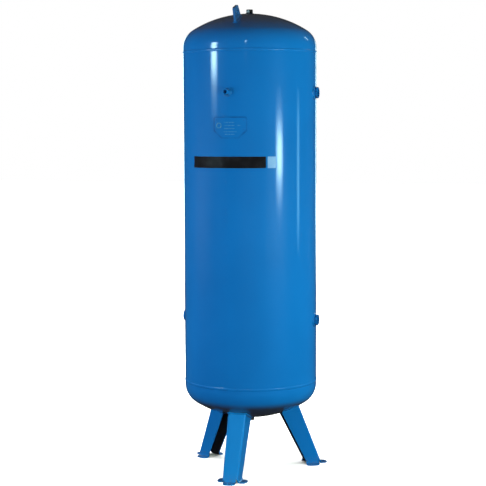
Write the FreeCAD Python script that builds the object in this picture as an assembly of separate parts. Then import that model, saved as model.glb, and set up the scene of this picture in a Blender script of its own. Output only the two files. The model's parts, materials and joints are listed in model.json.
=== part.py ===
import FreeCAD, Part
import math
import os

# Vertical compressed-air receiver: rolled shell, two dished heads, three pressed legs,
# screwed sockets, a lifting lug, a nameplate and a closing plug on the top socket.
# Millimetres. The origin is on the tank's axis at the floor, +Z points up and the front,
# where the gauge socket and the nameplate are, faces -Y. Azimuths are in degrees about +Z,
# 0 at the front (-Y) and growing towards +X.

# ---- tank ----
TANK_R = 300.0
WALL = 4.0
CROWN_R = 0.8 * 2.0 * TANK_R
KNUCKLE_R = 0.154 * 2.0 * TANK_R
HEAD_SKIRT = 20.0
BASE_TANGENT_Z = 392.0
SHELL_LEN = 1480.0
SEAM_ROOT = 2.0
SEAM_CAP_W = 13.0
SEAM_CAP_H = 2.2
LONG_SEAM_CAP_W = 11.0
LONG_SEAM_CAP_H = 1.6
LONG_SEAM_AZ = 180.0
BACKING_W = 30.0
BACKING_T = 3.0

# ---- screwed sockets: outside diameter, thread's minor radius, how far each stands proud ----
PORT_OD = 50.0
PORT_MINOR_R = 19.5
PORT_PROUD = 18.0
PORT_INSET = 12.0
UPPER_PORT_Z = 1710.0
LOWER_PORT_Z = 692.0
RIGHT_AZ = 90.0
LEFT_AZ = -90.0
GAUGE_OD = 27.0
GAUGE_MINOR_R = 7.5
GAUGE_PROUD = 36.0
GAUGE_INSET = 8.0
GAUGE_AZ = -2.0
DRAIN_OD = 33.0
DRAIN_MINOR_R = 12.0
DRAIN_PROUD = 22.0
TOP_OD = 33.0
TOP_MINOR_R = 12.0
TOP_PROUD = 3.0
TOP_INSET = 13.0
SOCKET_CHAMFER = 1.0
SOCKET_WELD_LEG = 6.0
TOP_WELD_H = 2.5

SIDE_SOCKETS = {
    "right_upper": (PORT_OD, PORT_MINOR_R, PORT_PROUD, PORT_INSET, RIGHT_AZ, UPPER_PORT_Z),
    "right_lower": (PORT_OD, PORT_MINOR_R, PORT_PROUD, PORT_INSET, RIGHT_AZ, LOWER_PORT_Z),
    "left": (PORT_OD, PORT_MINOR_R, PORT_PROUD, PORT_INSET, LEFT_AZ, LOWER_PORT_Z),
    "gauge": (GAUGE_OD, GAUGE_MINOR_R, GAUGE_PROUD, GAUGE_INSET, GAUGE_AZ, UPPER_PORT_Z),
}

# ---- top closing plug and its washer ----
PLUG_FLATS = 29.0
PLUG_CORNER_AZ = 14.0
PLUG_HEAD_H = 14.0
PLUG_BEVEL_DROP = 1.8
PLUG_BEVEL_INSET = 1.2
PLUG_SHANK_LEN = 18.0
PLUG_SHANK_GAP = 0.3
PLUG_TIP_CHAMFER = 1.5
WASHER_T = 2.0
WASHER_OD = 30.0
WASHER_GAP = 0.4

# ---- legs: pressed channels, open towards the axis ----
LEG_AZIMUTHS = {"front": 0.0, "right": 120.0, "left": -120.0}
LEG_T = 5.0
LEG_FOOT_R = 331.0
LEG_SPLAY_DEG = 21.7
LEG_WEB_FLOOR = 71.0
LEG_WEB_WIDENING = 0.047
LEG_FLANGE_FLOOR = 68.0
LEG_FLANGE_WIDENING = 0.106
LEG_FOLD_R = 9.0
LEG_TOP_Z = 335.0
TOE_LEN = 31.0
TOE_BEND_R = 8.0
TOE_START_Z = 17.0
TOE_CORNER_R = 21.0
ANCHOR_HOLE_R = 6.0
ANCHOR_PCD = 692.0
LEG_WELD_LEG = 6.0

# ---- lifting lug: a radial plate standing on the front of the top head ----
LUG_T = 10.0
LUG_CORNERS = [(212.0, 1985.0), (219.0, 2013.0), (242.5, 2073.0),
               (191.5, 2090.0), (146.5, 2045.5), (130.0, 2020.0)]
LUG_CORNER_RADII = [0.0, 0.0, 9.0, 9.0, 0.0, 0.0]
LUG_EYE_R = 12.0
LUG_EYE_RHO = 195.0
LUG_EYE_Z = 2055.0
LUG_WELD_LEG = 6.0

# ---- nameplate and decals ----
PLATE_Z = 1557.0
PLATE_W = 150.0
PLATE_H = 94.0
PLATE_CHAMFER_W = 36.0
PLATE_CHAMFER_H = 32.0
PLATE_TOP_R = 8.0
PLATE_LOW_R = 3.0
BRACKET_T = 3.0
PLATE_MARGIN = 5.0
PLATE_T = 1.0
RIVET_SHANK_R = 1.6
RIVET_HEAD_R = 3.2
RIVET_HEAD_H = 1.4
RIVET_INSET = 9.0
RIVET_GAP = 0.3
DECAL_T = 0.5
DECAL_Z = 1407.0
DECAL_H = 50.0
STRIPE_AZ_FROM = -38.0
STRIPE_AZ_TO = 30.0
MARK_AZ_FROM = 31.5
MARK_AZ_TO = 38.5

# ---- working values ----
CUT_MARGIN = 1.0
EDGE_TOLERANCE = 0.001

# ---- derived places ----
CENTRE = FreeCAD.Vector(0, 0, 0)
UP = FreeCAD.Vector(0, 0, 1)
ALONG_X = FreeCAD.Vector(1, 0, 0)
HEAD_DEPTH = CROWN_R - math.sqrt((CROWN_R - KNUCKLE_R) ** 2 - (TANK_R - KNUCKLE_R) ** 2)
BOTTOM_SEAM_Z = BASE_TANGENT_Z + HEAD_SKIRT
TOP_SEAM_Z = BOTTOM_SEAM_Z + SHELL_LEN
TOP_TANGENT_Z = TOP_SEAM_Z + HEAD_SKIRT
TOP_APEX_Z = TOP_TANGENT_Z + HEAD_DEPTH
BOTTOM_APEX_Z = BASE_TANGENT_Z - HEAD_DEPTH
MID_Z = (BOTTOM_SEAM_Z + TOP_SEAM_Z) / 2.0
SPLAY = math.tan(math.radians(LEG_SPLAY_DEG))
LEG_T_LEVEL = LEG_T / math.cos(math.radians(LEG_SPLAY_DEG))


# ---- general helpers ----
def vec(x, y, z=0.0):
    return FreeCAD.Vector(x, y, z)


def face_of(edges):
    return Part.Face(Part.Wire(edges))


def revolved(edges, sweep=360.0):
    """Solid made by turning a closed outline about Z."""
    return face_of(edges).revolve(CENTRE, UP, sweep)


def polyline_edges(points):
    return [Part.LineSegment(a, b).toShape() for a, b in zip(points, points[1:])]


def rounded_outline(points, radii):
    """Closed outline through 3-D points, with a tangent arc of the given radius at each one."""
    count = len(points)
    starts = []
    ends = []
    edges = []
    for i in range(count):
        corner = points[i]
        back = (points[i - 1] - corner).normalize()
        ahead = (points[(i + 1) % count] - corner).normalize()
        if radii[i] == 0.0:
            starts.append(corner)
            ends.append(corner)
            continue
        half = back.getAngle(ahead) / 2.0
        reach = radii[i] / math.tan(half)
        middle = (back + ahead).normalize() * (radii[i] / math.sin(half) - radii[i])
        starts.append(corner + back * reach)
        ends.append(corner + ahead * reach)
        edges.append(Part.Arc(starts[i], corner + middle, ends[i]).toShape())
    for i in range(count):
        edges.append(Part.LineSegment(ends[i], starts[(i + 1) % count]).toShape())
    return Part.Wire(Part.__sortEdges__(edges))


def turned(points):
    """Solid of revolution about Z of a closed (radius, height) outline."""
    outline = [vec(r, 0, h) for r, h in points]
    return revolved(polyline_edges(outline + outline[:1]))


def at_azimuth(shape, azimuth):
    moved = shape.copy()
    moved.rotate(CENTRE, UP, azimuth)
    return moved


def radial(shape, azimuth, z):
    """Takes a shape built along +Z from the tank's axis and lays it outwards at an azimuth."""
    moved = shape.copy()
    moved.rotate(CENTRE, ALONG_X, 90)
    moved.translate(vec(0, 0, z))
    return at_azimuth(moved, azimuth)


def downwards(shape):
    moved = shape.copy()
    moved.rotate(CENTRE, ALONG_X, 180)
    return moved


def export(shape, node):
    os.makedirs("parts", exist_ok=True)
    shape.exportStep("parts/" + node + ".step")


# ---- tank ----
def head_edges(offset):
    """Half outline of the top head's surface, offset outwards, from its skirt to the axis."""
    knuckle = vec(TANK_R - KNUCKLE_R, 0, TOP_TANGENT_Z)
    crown = vec(0, 0, TOP_APEX_Z - CROWN_R)
    knuckle_r = KNUCKLE_R + offset
    crown_r = CROWN_R + offset
    turn = math.atan2(knuckle.z - crown.z, knuckle.x)

    def on(centre, radius, angle):
        return centre + vec(math.cos(angle), 0, math.sin(angle)) * radius

    skirt_end = vec(TANK_R + offset, 0, TOP_TANGENT_Z)
    joint = on(crown, crown_r, turn)
    apex = on(crown, crown_r, math.pi / 2.0)
    knuckle_arc = Part.Arc(skirt_end, on(knuckle, knuckle_r, turn / 2.0), joint)
    crown_arc = Part.Arc(joint, on(crown, crown_r, (turn + math.pi / 2.0) / 2.0), apex)
    return skirt_end, apex, [knuckle_arc.toShape(), crown_arc.toShape()]


def mirrored(shape):
    return shape.mirror(vec(0, 0, MID_Z), UP)


def envelope(offset):
    """Everything inside the tank's outer surface, offset outwards."""
    skirt_end, apex, curve = head_edges(offset)
    middle_out = vec(TANK_R + offset, 0, MID_Z)
    middle_in = vec(0, 0, MID_Z)
    side = Part.LineSegment(middle_out, skirt_end).toShape()
    axis = Part.LineSegment(apex, middle_in).toShape()
    floor = Part.LineSegment(middle_in, middle_out).toShape()
    upper = revolved([side] + curve + [axis, floor])
    return upper.fuse(mirrored(upper)).removeSplitter()


def plain_head():
    """Top head with its skirt, before the seam and the socket are cut from it."""
    outer_end, outer_apex, outer = head_edges(0.0)
    inner_end, inner_apex, inner = head_edges(-WALL)
    outer_edge = vec(TANK_R, 0, TOP_SEAM_Z)
    inner_edge = vec(TANK_R - WALL, 0, TOP_SEAM_Z)
    sides = [Part.LineSegment(outer_edge, outer_end).toShape(),
             Part.LineSegment(outer_apex, inner_apex).toShape(),
             Part.LineSegment(inner_end, inner_edge).toShape(),
             Part.LineSegment(inner_edge, outer_edge).toShape()]
    return revolved(Part.__sortEdges__(sides + outer + inner))


def seam_bead(z):
    inner = TANK_R - WALL
    root_low = vec(inner, 0, z - SEAM_ROOT / 2.0)
    root_high = vec(inner, 0, z + SEAM_ROOT / 2.0)
    cap_low = vec(TANK_R, 0, z - SEAM_CAP_W / 2.0)
    cap_high = vec(TANK_R, 0, z + SEAM_CAP_W / 2.0)
    crest = vec(TANK_R + SEAM_CAP_H, 0, z)
    edges = polyline_edges([cap_high, root_high, root_low, cap_low])
    edges.append(Part.Arc(cap_low, crest, cap_high).toShape())
    return revolved(edges)


def long_seam_bead():
    """Bead down the shell's own joint, built at the front and turned to its azimuth."""
    inner = TANK_R - WALL
    half = LONG_SEAM_CAP_W / 2.0
    root = SEAM_ROOT / 2.0
    cap_y = -math.sqrt(TANK_R ** 2 - half ** 2)
    root_y = -math.sqrt(inner ** 2 - root ** 2)
    low = BOTTOM_SEAM_Z
    cap_right = vec(half, cap_y, low)
    cap_left = vec(-half, cap_y, low)
    root_right = vec(root, root_y, low)
    root_left = vec(-root, root_y, low)
    edges = polyline_edges([cap_right, root_right])
    edges.append(Part.Arc(root_right, vec(0, -inner, low), root_left).toShape())
    edges += polyline_edges([root_left, cap_left])
    crest = vec(0, -TANK_R - LONG_SEAM_CAP_H, low)
    edges.append(Part.Arc(cap_left, crest, cap_right).toShape())
    return at_azimuth(face_of(edges).extrude(UP * SHELL_LEN), LONG_SEAM_AZ)


def backing_ring(z):
    outer = TANK_R - WALL
    inner = outer - BACKING_T
    low = z - BACKING_W / 2.0
    high = z + BACKING_W / 2.0
    return turned([(inner, low), (outer, low), (outer, high), (inner, high)])


# ---- sockets ----
def socket(od, minor_r, low, high):
    """Screwed socket along +Z from low to high, its bore at the thread's minor radius."""
    out = od / 2.0
    c = SOCKET_CHAMFER
    return turned([(minor_r, low + c), (minor_r + c, low), (out, low), (out, high - c),
                   (out - c, high), (minor_r + c, high), (minor_r, high - c)])


def socket_blank(od, low, high):
    return Part.makeCylinder(od / 2.0, high - low, vec(0, 0, low), UP)


def wall_weld(od):
    """Fillet round a socket that stands along +Z on the shell, before the shell is cut away."""
    out = od / 2.0
    low = TANK_R - SOCKET_WELD_LEG
    high = TANK_R + SOCKET_WELD_LEG
    return turned([(out, low), (out + 2.0 * SOCKET_WELD_LEG, low), (out, high)])


def crown_weld(od, height):
    """Fillet round the socket in the middle of the top head, its foot on the crown's curve."""
    centre_z = TOP_APEX_Z - CROWN_R

    def on_crown(r):
        return vec(r, 0, centre_z + math.sqrt(CROWN_R ** 2 - r ** 2))

    near = on_crown(od / 2.0)
    far = on_crown(od / 2.0 + SOCKET_WELD_LEG)
    top = near + UP * height
    foot = Part.Arc(near, on_crown((od + SOCKET_WELD_LEG) / 2.0), far).toShape()
    return revolved([foot] + polyline_edges([far, top, near]))


# ---- legs ----
def web_rho(z):
    return LEG_FOOT_R - SPLAY * z


def half_web(z):
    return (LEG_WEB_FLOOR + LEG_WEB_WIDENING * z) / 2.0


def flange_depth(z):
    return LEG_FLANGE_FLOOR + LEG_FLANGE_WIDENING * z


def channel_outline(z, grow, open_grow, fold_r):
    """Outline at height z of the channel's outside, grown by a margin on its three walls."""
    side = half_web(z) + grow
    outer = -(web_rho(z) + grow / math.cos(math.radians(LEG_SPLAY_DEG)))
    free = -(web_rho(z) - flange_depth(z)) + open_grow
    points = [vec(-side, free, z), vec(-side, outer, z), vec(side, outer, z), vec(side, free, z)]
    return rounded_outline(points, [0.0, fold_r, fold_r, 0.0])


def channel_block(low, high, grow, open_grow, fold_r):
    wires = [channel_outline(z, grow, open_grow, fold_r) for z in (low, high)]
    return Part.makeLoft(wires, True, True)


def toe(profile, corner_x, width_from, width_to):
    """Sheet turned outwards onto the floor: an (x, z) profile extruded along Y, tip corners rounded."""
    radii = [0.0, 0.0, TOE_BEND_R, 0.0, 0.0, TOE_BEND_R + LEG_T]
    wire = rounded_outline([vec(x, width_from, z) for x, z in profile], radii)
    solid = Part.Face(wire).extrude(vec(0, width_to - width_from, 0))
    tips = []
    for edge in solid.Edges:
        box = edge.BoundBox
        upright = box.XLength + box.YLength < EDGE_TOLERANCE
        if upright and abs(box.Center.x - corner_x) < EDGE_TOLERANCE:
            tips.append(edge)
    return solid.makeFillet(TOE_CORNER_R, tips)


def flange_toe():
    side = half_web(TOE_START_Z)
    foot = half_web(0.0)
    tip = foot + TOE_LEN
    profile = [(side - LEG_T, TOE_START_Z), (side, TOE_START_Z), (foot, LEG_T), (tip, LEG_T),
               (tip, 0.0), (foot - LEG_T, 0.0)]
    back = -(web_rho(TOE_START_Z) - flange_depth(TOE_START_Z))
    front = -(web_rho(TOE_START_Z) - LEG_FOLD_R)
    return toe(profile, tip, front, back)


def web_toe():
    """Built pointing along +X from the axis, then turned to the front."""
    tip = LEG_FOOT_R + TOE_LEN
    start = web_rho(TOE_START_Z)
    profile = [(start - LEG_T_LEVEL, TOE_START_Z), (start, TOE_START_Z), (web_rho(LEG_T), LEG_T),
               (tip, LEG_T), (tip, 0.0), (LEG_FOOT_R - LEG_T_LEVEL, 0.0)]
    half = half_web(TOE_START_Z) - LEG_FOLD_R
    return at_azimuth(toe(profile, tip, -half, half), -90.0)


def leg(tank):
    outside = channel_block(TOE_START_Z, LEG_TOP_Z, 0.0, 0.0, LEG_FOLD_R)
    low = TOE_START_Z - CUT_MARGIN
    high = LEG_TOP_Z + CUT_MARGIN
    inside = channel_block(low, high, -LEG_T, CUT_MARGIN, LEG_FOLD_R - LEG_T)
    side_toe = flange_toe()
    other_toe = side_toe.mirror(CENTRE, ALONG_X)
    pressed = outside.cut(inside).fuse([web_toe(), side_toe, other_toe]).removeSplitter()
    drill_start = vec(0, -ANCHOR_PCD / 2.0, -CUT_MARGIN)
    drill = Part.makeCylinder(ANCHOR_HOLE_R, LEG_T + 2.0 * CUT_MARGIN, drill_start, UP)
    return pressed.cut(drill).cut(tank)


def leg_weld(tank, layer):
    inner = channel_block(TOE_START_Z, LEG_TOP_Z, 0.0, 0.0, LEG_FOLD_R)
    outer = channel_block(TOE_START_Z, LEG_TOP_Z, LEG_WELD_LEG, 0.0, LEG_FOLD_R + LEG_WELD_LEG)
    return outer.cut(inner).common(layer).cut(tank)


# ---- lifting lug ----
def lug_block(grow, thickness):
    points = [vec(-thickness / 2.0, -rho, z) for rho, z in LUG_CORNERS]
    wire = rounded_outline(points, LUG_CORNER_RADII)
    if grow > 0.0:
        wire = wire.makeOffset2D(grow)
    return Part.Face(wire).extrude(vec(thickness, 0, 0))


def lug(tank):
    drill_start = vec(-LUG_T / 2.0 - CUT_MARGIN, -LUG_EYE_RHO, LUG_EYE_Z)
    drill = Part.makeCylinder(LUG_EYE_R, LUG_T + 2.0 * CUT_MARGIN, drill_start, ALONG_X)
    return lug_block(0.0, LUG_T).cut(drill).cut(tank)


def lug_weld(tank, layer, lug_solid):
    grown = lug_block(LUG_WELD_LEG, LUG_T + 2.0 * LUG_WELD_LEG)
    return grown.common(layer).cut(tank).cut(lug_solid)


# ---- nameplate and decals ----
def plate_outline(margin):
    """Nameplate outline in the XZ plane: rounded top corners, the lower corners cut off."""
    side = PLATE_W / 2.0 - margin
    top = PLATE_Z + PLATE_H / 2.0 - margin
    low = PLATE_Z - PLATE_H / 2.0 + margin
    points = [vec(-side, 0, top), vec(side, 0, top), vec(side, 0, low + PLATE_CHAMFER_H),
              vec(side - PLATE_CHAMFER_W, 0, low), vec(-side + PLATE_CHAMFER_W, 0, low),
              vec(-side, 0, low + PLATE_CHAMFER_H)]
    return rounded_outline(points, [PLATE_TOP_R] * 2 + [PLATE_LOW_R] * 4)


def curved_sheet(outline, inner_r, outer_r):
    """The part of a thin cylinder wall that an outline in the XZ plane covers at the front."""
    prism = Part.Face(outline).extrude(vec(0, -2.0 * TANK_R, 0))
    ring = turned([(inner_r, BOTTOM_SEAM_Z), (outer_r, BOTTOM_SEAM_Z),
                   (outer_r, TOP_SEAM_Z), (inner_r, TOP_SEAM_Z)])
    return prism.common(ring)


def rivet_places():
    x = PLATE_W / 2.0 - PLATE_MARGIN - RIVET_INSET
    top = PLATE_Z + PLATE_H / 2.0 - PLATE_MARGIN - RIVET_INSET
    low = PLATE_Z - PLATE_H / 2.0 + PLATE_CHAMFER_H + RIVET_INSET
    return [(-x, top), (x, top), (-x, low), (x, low)]


def rivet_azimuth(x):
    return math.degrees(math.asin(x / TANK_R))


def rivet_hole(x, z):
    length = BRACKET_T + PLATE_T + RIVET_HEAD_H
    drill = Part.makeCylinder(RIVET_SHANK_R, length, vec(0, 0, TANK_R + RIVET_GAP), UP)
    return radial(drill, rivet_azimuth(x), z)


def rivet(x, z):
    """Low-headed rivet through the nameplate and its bracket."""
    foot = TANK_R + RIVET_GAP
    seat = TANK_R + BRACKET_T + PLATE_T
    crown = seat + RIVET_HEAD_H
    shoulder = seat + RIVET_HEAD_H / 2.0
    flat_r = RIVET_HEAD_R - RIVET_HEAD_H
    body = turned([(0.0, foot), (RIVET_SHANK_R, foot), (RIVET_SHANK_R, seat), (RIVET_HEAD_R, seat),
                   (RIVET_HEAD_R, shoulder), (flat_r, crown), (0.0, crown)])
    return radial(body, rivet_azimuth(x), z)


def band(azimuth_from, azimuth_to, low, high):
    """Thin film on the shell between two azimuths."""
    sweep = azimuth_to - azimuth_from
    corners = [vec(TANK_R, 0, low), vec(TANK_R + DECAL_T, 0, low),
               vec(TANK_R + DECAL_T, 0, high), vec(TANK_R, 0, high), vec(TANK_R, 0, low)]
    film = revolved(polyline_edges(corners), sweep)
    return at_azimuth(film, azimuth_from - 90.0)


# ---- top plug ----
def hexagon_prism(flats, low, height):
    """Upright hexagon with its top corners bevelled all round."""
    corner_r = flats / math.sqrt(3.0)
    points = []
    for i in range(7):
        angle = math.radians(PLUG_CORNER_AZ - 90.0 + 60.0 * i)
        points.append(vec(corner_r * math.cos(angle), corner_r * math.sin(angle), low))
    prism = face_of(polyline_edges(points)).extrude(UP * height)
    top = low + height
    clear_r = corner_r + CUT_MARGIN
    bevel = turned([(0.0, low), (clear_r, low), (clear_r, top - PLUG_BEVEL_DROP),
                    (flats / 2.0 - PLUG_BEVEL_INSET, top), (0.0, top)])
    return prism.common(bevel)


def top_plug(seat_z):
    head_z = seat_z + WASHER_T
    shank_r = TOP_MINOR_R - PLUG_SHANK_GAP
    c = PLUG_TIP_CHAMFER
    tip = head_z - PLUG_SHANK_LEN
    shank = turned([(0.0, tip), (shank_r - c, tip), (shank_r, tip + c),
                    (shank_r, head_z), (0.0, head_z)])
    return hexagon_prism(PLUG_FLATS, head_z, PLUG_HEAD_H).fuse(shank).removeSplitter()


def top_washer(seat_z):
    hole_r = TOP_MINOR_R - PLUG_SHANK_GAP + WASHER_GAP
    top = seat_z + WASHER_T
    out = WASHER_OD / 2.0
    return turned([(hole_r, seat_z), (out, seat_z), (out, top), (hole_r, top)])


# ---- sub-assemblies, each exported piece by piece ----
def build_shell(tank):
    """Rolled shell with its three seams, and the four sockets that stand on it."""
    low_bead = seam_bead(BOTTOM_SEAM_Z)
    high_bead = seam_bead(TOP_SEAM_Z)
    long_bead = long_seam_bead()
    shell = turned([(TANK_R - WALL, BOTTOM_SEAM_Z), (TANK_R, BOTTOM_SEAM_Z),
                    (TANK_R, TOP_SEAM_Z), (TANK_R - WALL, TOP_SEAM_Z)])
    shell = shell.cut(long_bead).cut(low_bead).cut(high_bead)
    for name, (od, minor_r, proud, inset, azimuth, z) in SIDE_SOCKETS.items():
        low = TANK_R - WALL - inset
        high = TANK_R + proud
        shell = shell.cut(radial(socket_blank(od, low, high), azimuth, z))
        export(radial(socket(od, minor_r, low, high), azimuth, z), name + "_socket")
        export(radial(wall_weld(od), azimuth, z).cut(tank), name + "_socket_weld")
    export(shell, "shell")
    export(long_bead.cut(low_bead).cut(high_bead), "shell_seam_weld")
    export(high_bead, "top_seam_weld")
    export(low_bead, "bottom_seam_weld")
    export(backing_ring(TOP_SEAM_Z), "top_backing_ring")
    export(backing_ring(BOTTOM_SEAM_Z), "bottom_backing_ring")


def build_top():
    """Top head, its socket, and the plug and washer that close it."""
    low = TOP_APEX_Z - WALL - TOP_INSET
    seat = TOP_APEX_Z + TOP_PROUD
    blank = socket_blank(TOP_OD, low, seat)
    export(plain_head().cut(seam_bead(TOP_SEAM_Z)).cut(blank), "top_head")
    export(socket(TOP_OD, TOP_MINOR_R, low, seat), "top_socket")
    export(crown_weld(TOP_OD, TOP_WELD_H), "top_socket_weld")
    export(top_washer(seat), "top_plug_washer")
    export(top_plug(seat), "top_plug")


def build_bottom():
    """Bottom head and its drain socket, which points straight down."""
    low = -(BOTTOM_APEX_Z + WALL + PORT_INSET)
    high = -(BOTTOM_APEX_Z - DRAIN_PROUD)
    blank = downwards(socket_blank(DRAIN_OD, low, high))
    head = mirrored(plain_head()).cut(seam_bead(BOTTOM_SEAM_Z))
    export(head.cut(blank), "bottom_head")
    export(downwards(socket(DRAIN_OD, DRAIN_MINOR_R, low, high)), "drain_socket")
    export(mirrored(crown_weld(DRAIN_OD, SOCKET_WELD_LEG)), "drain_socket_weld")


def build_legs(tank):
    front_leg = leg(tank)
    front_weld = leg_weld(tank, envelope(LEG_WELD_LEG))
    for name, azimuth in LEG_AZIMUTHS.items():
        export(at_azimuth(front_leg, azimuth), name + "_leg")
        export(at_azimuth(front_weld, azimuth), name + "_leg_weld")


def build_lug(tank):
    lug_solid = lug(tank)
    export(lug_solid, "lifting_lug")
    export(lug_weld(tank, envelope(LUG_WELD_LEG), lug_solid), "lifting_lug_weld")


def build_marking():
    """Riveted nameplate on its bracket, and the two films below it."""
    face = TANK_R + BRACKET_T
    bracket = curved_sheet(plate_outline(0.0), TANK_R, face)
    plate = curved_sheet(plate_outline(PLATE_MARGIN), face, face + PLATE_T)
    rivets = []
    for x, z in rivet_places():
        bracket = bracket.cut(rivet_hole(x, z))
        plate = plate.cut(rivet_hole(x, z))
        rivets.append(rivet(x, z))
    export(bracket, "nameplate_bracket")
    export(plate, "nameplate")
    export(Part.makeCompound(rivets), "nameplate_rivets")
    low = DECAL_Z - DECAL_H / 2.0
    high = DECAL_Z + DECAL_H / 2.0
    export(band(STRIPE_AZ_FROM, STRIPE_AZ_TO, low, high), "decal_stripe")
    export(band(MARK_AZ_FROM, MARK_AZ_TO, low, high), "decal_square")


def build():
    tank = envelope(0.0)
    build_shell(tank)
    build_top()
    build_bottom()
    build_legs(tank)
    build_lug(tank)
    build_marking()


build()
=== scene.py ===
import json
from math import acos, asin, atan2, copysign, cos, degrees, exp, hypot, pi, radians, sin, sqrt, tan

import bmesh
import bpy
from mathutils import Matrix, Vector, noise


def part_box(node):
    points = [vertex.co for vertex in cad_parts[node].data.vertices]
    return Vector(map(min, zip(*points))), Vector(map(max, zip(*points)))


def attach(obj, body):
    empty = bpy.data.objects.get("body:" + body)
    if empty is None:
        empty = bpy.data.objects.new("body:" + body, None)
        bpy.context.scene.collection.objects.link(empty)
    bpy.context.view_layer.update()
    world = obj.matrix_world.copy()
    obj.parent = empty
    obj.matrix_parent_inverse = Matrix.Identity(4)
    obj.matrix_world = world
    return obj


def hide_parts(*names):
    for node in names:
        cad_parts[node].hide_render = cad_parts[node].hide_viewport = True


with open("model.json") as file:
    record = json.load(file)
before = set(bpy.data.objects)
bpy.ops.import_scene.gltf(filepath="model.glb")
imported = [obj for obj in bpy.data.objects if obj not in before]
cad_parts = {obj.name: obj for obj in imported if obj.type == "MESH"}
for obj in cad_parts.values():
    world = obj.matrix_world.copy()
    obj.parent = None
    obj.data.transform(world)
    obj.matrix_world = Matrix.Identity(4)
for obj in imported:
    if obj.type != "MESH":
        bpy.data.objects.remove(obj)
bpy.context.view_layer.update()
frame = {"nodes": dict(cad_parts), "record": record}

# Vertical compressed-air receiver in glossy blue enamel. Metres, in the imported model's frame:
# the tank's axis is Z, the front is -Y, and azimuths grow from the front towards +X.
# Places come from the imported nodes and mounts; the sizes below are the vessel's own.

MOUNTS = {mount["name"]: mount for mount in frame["record"]["mounts"]}
UP = Vector((0.0, 0.0, 1.0))
TURN = 2.0 * pi

# ---- tank ----
TANK_R = 0.300
WALL = 0.004
CROWN_R = 0.480
KNUCKLE_R = 0.0924
HEAD_SKIRT = 0.020
SEAM_CAP_W = 0.013
SEAM_CAP_H = 0.0017
SEAM_ROOT = 0.002
LONG_SEAM_CAP_W = 0.011
LONG_SEAM_CAP_H = 0.0016
TANK_COLUMNS = 288
SHELL_ROWS = 70
PORT_ROWS = 14
PORT_REACH = 0.042
LEAST_ROW_GAP = 0.0025
# radius of the hole in the plate behind each socket; its edge is hidden in the socket's wall
SIDE_HOLES = {"right_upper_port": 0.0225, "right_lower_port": 0.0225, "left_port": 0.0225,
              "gauge_port": 0.0105}
HEAD_HOLE_R = 0.0142
HEAD_STEPS = 30
WAVE_DEPTH = 0.00022
WAVE_LENGTH = 0.16
SHRINK_DEPTH = 0.0003
SHRINK_REACH = 0.028

# ---- weld beads ----
SEAM_RIPPLE = 0.0036
SEAM_RIPPLE_DEPTH = 0.00022
SEAM_CHEVRON = 0.9
SEAM_RIPPLE_LEVEL = 0.6
SEAM_DRIFT = 0.0006
SEAM_CAP_STEPS = 10
LONG_CAP_STEPS = 8
CAP_LAP = 0.0001
HAND_RIPPLE = 0.0032
HAND_RIPPLE_DEPTH = 0.00035
HAND_CHEVRON = 0.7
HAND_RIPPLE_LEVEL = 0.4
RIPPLE_SAMPLES = 5
FILLET_STEPS = 6
BEAD_LUMP = 0.10
BEAD_LUMP_SCALE = 70.0
BEAD_SWELL = 0.10
SOCKET_WELD_LEG = 0.006
TOP_WELD_H = 0.0025
LEG_WELD_LEG = 0.006
LUG_WELD_LEG = 0.006
BEAD_SINK = 0.0012
SEAM_CREASE = 60.0
WELD_CREASE = 70.0

# ---- pipe threads: pitch and depth ----
G_1_1_4 = (0.002309, 0.001479)
G_3_4 = (0.001814, 0.001162)
G_3_8 = (0.001337, 0.000856)
THREAD_ROWS = 9
SOCKET_COLUMNS = 96
GAUGE_COLUMNS = 64
SOCKET_CHAMFER = 0.001
SOCKET_RIM_R = 0.0018
MOUTH_CHAMFER = 0.0004

# ---- top plug ----
PLUG_FLATS = 0.029
PLUG_CORNER_AZ = 14.0
PLUG_HEAD_H = 0.014
PLUG_SHANK_LEN = 0.018
PLUG_ROOT_R = 0.0117
PLUG_COLUMNS = 144
# (radius, depth under its top) over the plug's head; the hexagon cuts off what lies outside it
PLUG_CROWN = [(0.0, 0.0012), (0.0055, 0.0012), (0.0075, 0.0), (0.0128, 0.0), (0.0134, 0.0001),
              (0.0139, 0.0004), (0.0180, 0.0026)]
PLUG_BLANK_R = 0.0180
PLUG_FLATS_START = 0.003
PLUG_CREASE = 24.0
# (radius, height over the head's seat) from the head in to the undercut above the thread
PLUG_HEAD_FOOT = [(0.0172, 0.0003), (0.0140, 0.0), (PLUG_ROOT_R + 0.0006, 0.0),
                  (PLUG_ROOT_R, -0.0006)]
HEXAGON_SHARPNESS = 60.0
TOP_MINOR_R = 0.012
WASHER_T = 0.002
WASHER_EDGE_R = 0.0005
WASHER_COLUMNS = 96

# ---- legs ----
LEG_AZIMUTHS = {"front": 0.0, "right": 120.0, "left": -120.0}
LEG_T = 0.005
LEG_FOOT_R = 0.331
LEG_SPLAY = radians(21.7)
LEG_WEB_FLOOR = 0.071
LEG_WEB_WIDENING = 0.047
LEG_FLANGE_FLOOR = 0.068
LEG_FLANGE_WIDENING = 0.106
LEG_FOLD_R = 0.009
TOE_LEN = 0.031
TOE_BEND_R = 0.008
TOE_START_Z = 0.017
TOE_CORNER_R = 0.021
SHEET_EDGE = 0.0007
LEG_ROWS = 26
TOE_BEND_STEPS = 9
TOE_FLAT_STEPS = 14

# ---- lifting lug: outline as (distance from the axis, height), eye from its mount ----
LUG_T = 0.010
LUG_FRONT = (0.219, 2.013)
LUG_REAR = (0.1465, 2.0455)
LUG_CORNERS = [(0.2425, 2.073), (0.1915, 2.090)]
LUG_CORNER_R = 0.009
LUG_EDGE = 0.0008
LUG_FOOT_REAR = LUG_REAR[0] - 0.0015
LUG_FOOT_FRONT = LUG_FRONT[0] - 0.0003
EYE_COLUMNS = 48

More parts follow.
